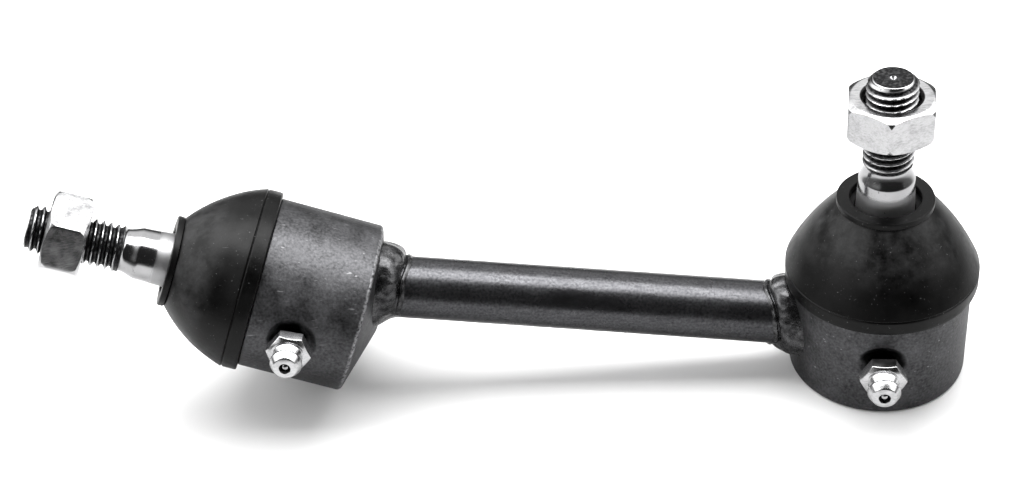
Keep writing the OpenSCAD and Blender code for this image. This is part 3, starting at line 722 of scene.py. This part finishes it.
angles = np.linspace(0, 2 * np.pi, 180, endpoint=False)[None, :]
collar_line = rounded([(5.8, 37.5), (8.0, 37.5), (8.0, 39.6), (5.8, 39.2)], [0.2, 0.2, 0.2, 0.3])
collar = spin(collar_line - np.array([0, ball_height]), angles)
rim_fillets, lip_fillets = [0.1, 0.45, 0.2, 0.1], [0.15, 0.4, 0.35]
fillets = rim_fillets + [0.08] * 60 + lip_fillets + [0.1] * 5 + [0.05] * 30 + [0.1] * 5
for side, where in joints.items():
    corners = np.concatenate(
        [
            [(boot_skirt_r, boot_low), (boot_rim_r, boot_low)],
            [(boot_rim_r, 24.85), (boot_rim_r - 0.28, 25.08)],
            dome(side, np.linspace(0, 1, 60)),
            [(boot_lip_r, boot_lip_low), (boot_lip_r, boot_top)],
            [(neck_r, boot_top), (neck_r, boot_lip_low), (groove_r, boot_lip_low)],
            [(groove_r, groove_low), (neck_r, groove_low), (7.3, neck_low)],
            dome(side, np.linspace(0.66, 0.1, 30), wall=boot_wall),
            [(boot_skirt_r, bead_top), (boot_skirt_r, 24.8)],
            [(ring_r, 24.8), (ring_r, 22.4), (boot_skirt_r, 22.4)],
        ]
    )
    shell = spin(refine(rounded(corners, fillets, steps=4), 0.6), angles)
    height = shell[..., 2]
    # The upper half, from 30 to 40 mm, carries the pale film of dust and painted sheen.
    sheen_and_dust_mask = np.clip((height - dust_sheen_low) / dust_sheen_fade, 0, 1) * (height < dust_sheen_top)
    bent = place(lean_with_stud(shell, side), where)
    piece = make_piece(f"rubber_boot_{side}", bent, boot_rubber, marks={"sheen_and_dust_mask": sheen_and_dust_mask})
    end = place(np.array([0, 0, neck_low]), where) / 1000
    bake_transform(piece)
    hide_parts(f"boot_{side}")
    piece = make_piece(f"boot_collar_{side}", place(collar, studs[side]), collar_nylon)
    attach(piece, f"{side}_collar")
    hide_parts(f"neck_ring_{side}")

# Grease nipples: turned steel, zinc plated, screwed into the housings against the milled flat.
# A neck, a hexagon with a cone on it, a waist and a head for the gun; a ball on a spring closes
# the hole in the head.
hex_r = 4.0
hex_turn = {"right": 30, "left": 6.5}
hex_face = 3.5
hole_r = 1.15
check_r = 1.05
check_z = 8.6
nipple_places = {}
for side, (matrix, origin) in joints.items():
    turned = matrix @ turn_about("z", nipple_turn[side])
    out = turned[:, 0]
    nipple_places[side] = (
        turned @ turn_about("y", 90) @ turn_about("z", hex_turn[side]),
        origin + matrix[:, 2] * nipple_height + out * spot_r,
    )


def hexagon(angles, flat, soft):
    """Radius of a hexagon of that half-width at each angle, with a corner at angle 0. A soft
    minimum against the circle that would cut the corners eases them."""
    turn = np.mod(angles, np.pi / 3) - np.pi / 6
    side_r = flat / np.cos(turn)
    limit = flat / np.cos(np.pi / 6) - 0.6 * soft
    return -soft * np.log(np.exp(-side_r / soft) + np.exp(-limit / soft) * 0.35)


# Bright zinc plate: almost white, with fine tool marks 0.3 mm apart and a faint cloud. Where
# soil_and_shade is 1 it is black: painted shade in the nipple's neck and hole, and in the nut's
# countersinks and bore.
bright_zinc = bpy.data.materials.new("bright_zinc_plate")
bright_zinc.use_nodes = True
tree = bright_zinc.node_tree
shader = tree.nodes["Principled BSDF"]
spot = node(tree, "TexCoord", {}).outputs["Object"]
tool_at = node(
    tree,
    "Mapping",
    {"Vector": spot, "Rotation": (0.4, 0.3, 0.8), "Scale": (700.0, 3300.0, 3300.0)},
)
tool = node(tree, "TexNoise", {"Vector": tool_at.outputs[0], "Scale": 1.0, "Detail": 3.0})
cloud = node(tree, "TexNoise", {"Vector": spot, "Scale": 1000 / 2.0, "Detail": 5.0})
tone = node(tree, "Math", {0: tool.outputs[0], 1: cloud.outputs[0]}, operation="ADD")
level = node(tree, "MapRange", {0: tone.outputs[0], 1: 0.65, 2: 1.1})
plate = node(
    tree,
    "Mix",
    {0: level.outputs[0], 6: linear("#9f9fa0"), 7: linear("#c4c4c5")},
    data_type="RGBA",
)
soil_and_shade = node(tree, "Attribute", {}, attribute_name="soil_and_shade")
skin = node(
    tree,
    "Mix",
    {0: soil_and_shade.outputs["Fac"], 6: plate.outputs[2], 7: linear("#0c0c0c")},
    data_type="RGBA",
)
gloss = node(tree, "MapRange", {0: cloud.outputs[0], 1: 0.3, 2: 0.7, 3: 0.15, 4: 0.26})
bump = node(tree, "Bump", {"Height": tone.outputs[0], "Strength": 0.16, "Distance": 0.00005})
tree.links.new(skin.outputs[2], shader.inputs["Base Color"])
tree.links.new(gloss.outputs[0], shader.inputs["Roughness"])
tree.links.new(bump.outputs[0], shader.inputs["Normal"])
shader.inputs["Metallic"].default_value = 1.0

angles = np.linspace(0, 2 * np.pi, 144, endpoint=False)
flank = hexagon(angles, hex_r, 0.06)
chamfer = (flank - hex_face) * np.tan(np.pi / 6)
around = np.ones_like(angles)
# Section from the thread's end to the head and back down the hole: radius, and height above the
# milled flat.
corners = np.stack(
    [
        np.stack([r * around, z * around], -1)
        for r, z in (
            (0, -3.65),
            (3.0, -3.65),
            (3.0, 2.7),
            (flank, 2.7),
            (flank, 5.6 - chamfer),
            (hex_face, 5.6),
            (3.0, 5.65),
            (2.35, 7.0),
            (2.35, 7.4),
            (3.2, 7.8),
            (3.25, 8.25),
            (2.4, 9.7),
            (1.2, 9.9),
            (0.8, 9.3),
            (hole_r, 9.2),
            (hole_r, -2.7),
            (0, -2.7),
        )
    ]
)
body_fillets = [0.1, 0.1, 0.15, 0.2, 0.15, 0.1, 0.1, 0.2]
head_fillets = [0.15, 0.12, 0.25, 0.25, 0.1, 0.08, 0.05, 0.1, 0.1]
line = rounded(corners, body_fillets + head_fillets, closed=False)
nipple = spin(line, angles[None, :])
# Painted shade: the neck below the hexagon and the hole in the head are coloured black.
r, z = line[..., 0], line[..., 1]
soil_and_shade = (z < 2.6) | ((r < hole_r + 0.02) & (z > 7))
fall = np.linspace(0, np.pi, 40)
arc = np.stack([check_r * np.sin(fall), check_z - check_r * np.cos(fall)], -1)
globe = spin(arc, np.linspace(0, 2 * np.pi, 64, endpoint=False))
clean = np.zeros((1, 1))
for side, where in nipple_places.items():
    turned = place(nipple, where)
    piece = make_piece(
        f"grease_nipple_{side}", turned, bright_zinc, closed=False, sharp=40, marks={"soil_and_shade": soil_and_shade}
    )
    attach(piece, "link")
    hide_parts(f"nipple_{side}")
    ball = place(globe, where)
    piece = make_piece(
        f"nipple_ball_{side}", ball, ground_steel, closed=False, marks={"soil_and_shade": clean}
    )
    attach(piece, f"{side}_check_ball")
    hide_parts(f"check_ball_{side}")

# Nuts: hexagon bar, drilled, chamfered on both ends and zinc plated. The thread is cut just
# outside the stud's crests here, so that a nut can run along its stud without touching.
nut_flat = 8.0
nut_h = 8.2
nut_face = 7.6
nut_ease_r = 8.85
nut_bore = 5.05
nut_sink = 0.9
nut_groove = 0.45
nut_inset = {"right": 3.9, "left": 3.7}
nut_turn = {"right": 23, "left": 21}
angles = np.linspace(0, 2 * np.pi, 240, endpoint=False)
flank = hexagon(angles, nut_flat, 0.12)
eased = np.minimum(flank, nut_ease_r)
chamfer = (eased - nut_face) * np.tan(np.pi / 6)
steep = chamfer + 2.9 * (flank - eased)
around = np.ones_like(angles)
# Section: a chamfer of 30 degrees on the face, and a steeper one where it meets the corners.
corners = np.stack(
    [
        np.stack([r * around, z * around], -1)
        for r, z in (
            (nut_bore + nut_sink, 0.0),
            (nut_face, 0.0),
            (eased, chamfer),
            (flank, steep + 0.02),
            (flank, nut_h - steep - 0.02),
            (eased, nut_h - chamfer),
            (nut_face, nut_h),
            (nut_bore + nut_sink, nut_h),
            (nut_bore, nut_h - nut_sink),
            (nut_bore, nut_sink),
        )
    ]
)
line = rounded(corners, [0.1, 0.2, 0.06, 0.06, 0.06, 0.06, 0.2, 0.12, 0.1, 0.1])
line = np.concatenate([line, line[:1]])
in_bore = line[:, :, 0].max(1) < nut_bore + 0.1
line = refine(line, np.where(in_bore[1:] & in_bore[:-1], 0.1, 0.8))[:-1]
r, z = line[..., 0], line[..., 1]
groove = nut_groove * (1 - thread_height(z, angles[None, :]))
r = np.where(r.max(1, keepdims=True) < nut_bore + 0.1, r + groove, r)
nut = np.stack([r, z], -1)
# Painted shade: the countersinks and the bore are coloured black.
soil_and_shade = np.clip((nut_bore + 1.0 - r) / 0.2, 0, 1)
for side, (matrix, origin) in studs.items():
    turned = spin(nut, angles[None, :]) @ turn_about("z", nut_turn[side]).T
    raised = turned + np.array([0, 0, tip_z[side] - nut_inset[side] - nut_h])
    fitted = place(raised, (matrix, origin))
    piece = make_piece(f"hex_nut_{side}", fitted, bright_zinc, sharp=40, marks={"soil_and_shade": soil_and_shade})
    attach(piece, f"{side}_nut")
    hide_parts(f"nut_{side}")

# Studio: a pale floor that runs on to a white surround, wide soft lamps overhead, and a dark room
# on the viewer's side, which the bright metal and the rod show as a dark band.
# The floor's paint is matt white. Mirrored in the metal it fades to grey away from the link.
floor_paint = bpy.data.materials.new("matt_white_floor_paint")
floor_paint.use_nodes = True
tree = floor_paint.node_tree
shader = tree.nodes["Principled BSDF"]
glossy = node(tree, "LightPath", {}).outputs["Is Glossy Ray"]
spot = node(tree, "NewGeometry", {}).outputs["Position"]
far = node(tree, "VectorMath", {0: spot, 1: (-0.05, 0.0, 0.0)}, operation="DISTANCE")
fade = node(
    tree,
    "MapRange",
    {0: far.outputs["Value"], 1: 0.15, 2: 0.34},
    interpolation_type="SMOOTHSTEP",
)
mirrored = node(
    tree,
    "Mix",
    {0: fade.outputs[0], 6: linear("#c8c8c8"), 7: linear("#484848")},
    data_type="RGBA",
)
paint = node(
    tree,
    "Mix",
    {0: glossy, 6: linear("#f2f2f2"), 7: mirrored.outputs[2]},
    data_type="RGBA",
)
tree.links.new(paint.outputs[2], shader.inputs["Base Color"])
shader.inputs["Roughness"].default_value = 0.9
shader.inputs["Specular IOR Level"].default_value = 0.1
floor_half = 0.9
square = floor_half * np.array([(-1, -1, 0), (1, -1, 0), (1, 1, 0), (-1, 1, 0)])
mesh = bpy.data.meshes.new("floor")
mesh.from_pydata(square.tolist(), [], [(0, 1, 2, 3)])
mesh.materials.append(floor_paint)
floor = bpy.data.objects.new("floor", mesh)
bpy.context.scene.collection.objects.link(floor)

# Three soft lamps share the work: the panel overhead is what the metal mirrors, the key behind it
# casts the shadows forward, and a weak fill from the front left opens them a little.
for name, size, energy, location, turn in (
    ("overhead_panel", (1.3, 0.58), 18.5, (-0.06, 0.115, 0.85), (0.0, 0.0, 0.0)),
    ("soft_key", (1.3, 0.66), 26.0, (-0.08, 0.31, 0.85), (0.0, 0.0, 0.0)),
    ("low_fill", (0.5, 0.5), 1.6, (-0.55, -0.45, 0.45), (0.0, -0.75, 0.69)),
):
    lamp = bpy.data.lights.new(name, "AREA")
    lamp.shape = "RECTANGLE"
    lamp.size, lamp.size_y = size
    lamp.energy = energy
    stand = bpy.data.objects.new(name, lamp)
    stand.location = location
    stand.rotation_euler = turn
    stand.visible_diffuse = name != "overhead_panel"
    stand.visible_glossy = name == "overhead_panel"
    bpy.context.scene.collection.objects.link(stand)

# The surround is white where the camera looks past the floor. The metal mirrors walls that get
# brighter upwards and to both sides, and the dark room; the light on matt faces comes from behind.
world = bpy.data.worlds.new("white_studio")
world.use_nodes = True
bpy.context.scene.world = world
tree = world.node_tree
background = tree.nodes["Background"]
way = node(tree, "TexCoord", {}).outputs["Generated"]
parts = node(tree, "SeparateXYZ", {0: way})
flat = node(tree, "CombineXYZ", {0: parts.outputs[0], 1: parts.outputs[1], 2: 0.0})
level_way = node(tree, "VectorMath", {0: flat.outputs[0]}, operation="NORMALIZE")
viewer = node(
    tree,
    "VectorMath",
    {0: level_way.outputs[0], 1: (0.26, -0.966, 0.0)},
    operation="DOT_PRODUCT",
)
front = node(
    tree,
    "MapRange",
    {0: viewer.outputs["Value"], 1: 0.6, 2: 0.78},
    interpolation_type="SMOOTHSTEP",
)
low = node(
    tree,
    "MapRange",
    {0: parts.outputs[2], 1: 0.985, 2: 0.95},
    interpolation_type="SMOOTHSTEP",
)
room = node(tree, "Math", {0: front.outputs[0], 1: low.outputs[0]}, operation="MULTIPLY")
height = node(
    tree,
    "MapRange",
    {0: parts.outputs[2], 1: 0.05, 2: 0.55, 3: 0.05, 4: 1.35},
    interpolation_type="SMOOTHSTEP",
)
squared = node(tree, "Math", {0: parts.outputs[0], 1: parts.outputs[0]}, operation="MULTIPLY")
sides = node(tree, "MapRange", {0: squared.outputs[0], 1: 0.2, 2: 0.75, 3: 1.0, 4: 3.4})
lit = node(tree, "Math", {0: height.outputs[0], 1: sides.outputs[0]}, operation="MULTIPLY")
wall = node(
    tree,
    "Mix",
    {0: room.outputs[0], 6: lit.outputs[0], 7: (0.03, 0.03, 0.03, 1)},
    data_type="RGBA",
)
path = node(tree, "LightPath", {})
seen = node(
    tree,
    "Math",
    {0: path.outputs["Is Camera Ray"], 1: path.outputs["Is Transmission Ray"]},
    operation="MAXIMUM",
)
back = node(tree, "MapRange", {0: parts.outputs[1], 1: -0.3, 2: 0.5, 3: 0.05, 4: 1.8})
fill = node(
    tree,
    "Mix",
    {0: path.outputs["Is Diffuse Ray"], 6: wall.outputs[2], 7: back.outputs[0]},
    data_type="RGBA",
)
surround = node(
    tree,
    "Mix",
    {0: seen.outputs[0], 6: fill.outputs[2], 7: (1, 1, 1, 1)},
    data_type="RGBA",
)
tree.links.new(surround.outputs[2], background.inputs["Color"])
background.inputs["Strength"].default_value = 1.0
bpy.context.scene.view_settings.view_transform = "Standard"

# Camera: where the photograph was taken from, a quarter of a metre in front and above. Its focal
# length is given in pixels of the photograph's width.
focal_px = 1617.5
width_px = 1024
eye_place = np.array([-40.27, -257.31, 236.01])
eye = bpy.data.cameras.new("viewer")
eye.sensor_fit = "HORIZONTAL"
eye.sensor_width = 36.0
eye.lens = 36.0 * focal_px / width_px
eye.clip_start = 0.01
camera = bpy.data.objects.new("viewer", eye)
bpy.context.scene.collection.objects.link(camera)
right = np.array([0.9941, 0.0607, -0.0899])
forward = np.array([-0.1034, 0.7806, -0.6164])
forward = forward / np.linalg.norm(forward)
right = right - forward * (right @ forward)
right = right / np.linalg.norm(right)
up = np.cross(right, forward)
pose = np.eye(4)
pose[:3, 0], pose[:3, 1], pose[:3, 2] = right, up, -forward
pose[:3, 3] = eye_place / 1000
camera.matrix_world = Matrix(pose.tolist())
bpy.context.scene.camera = camera
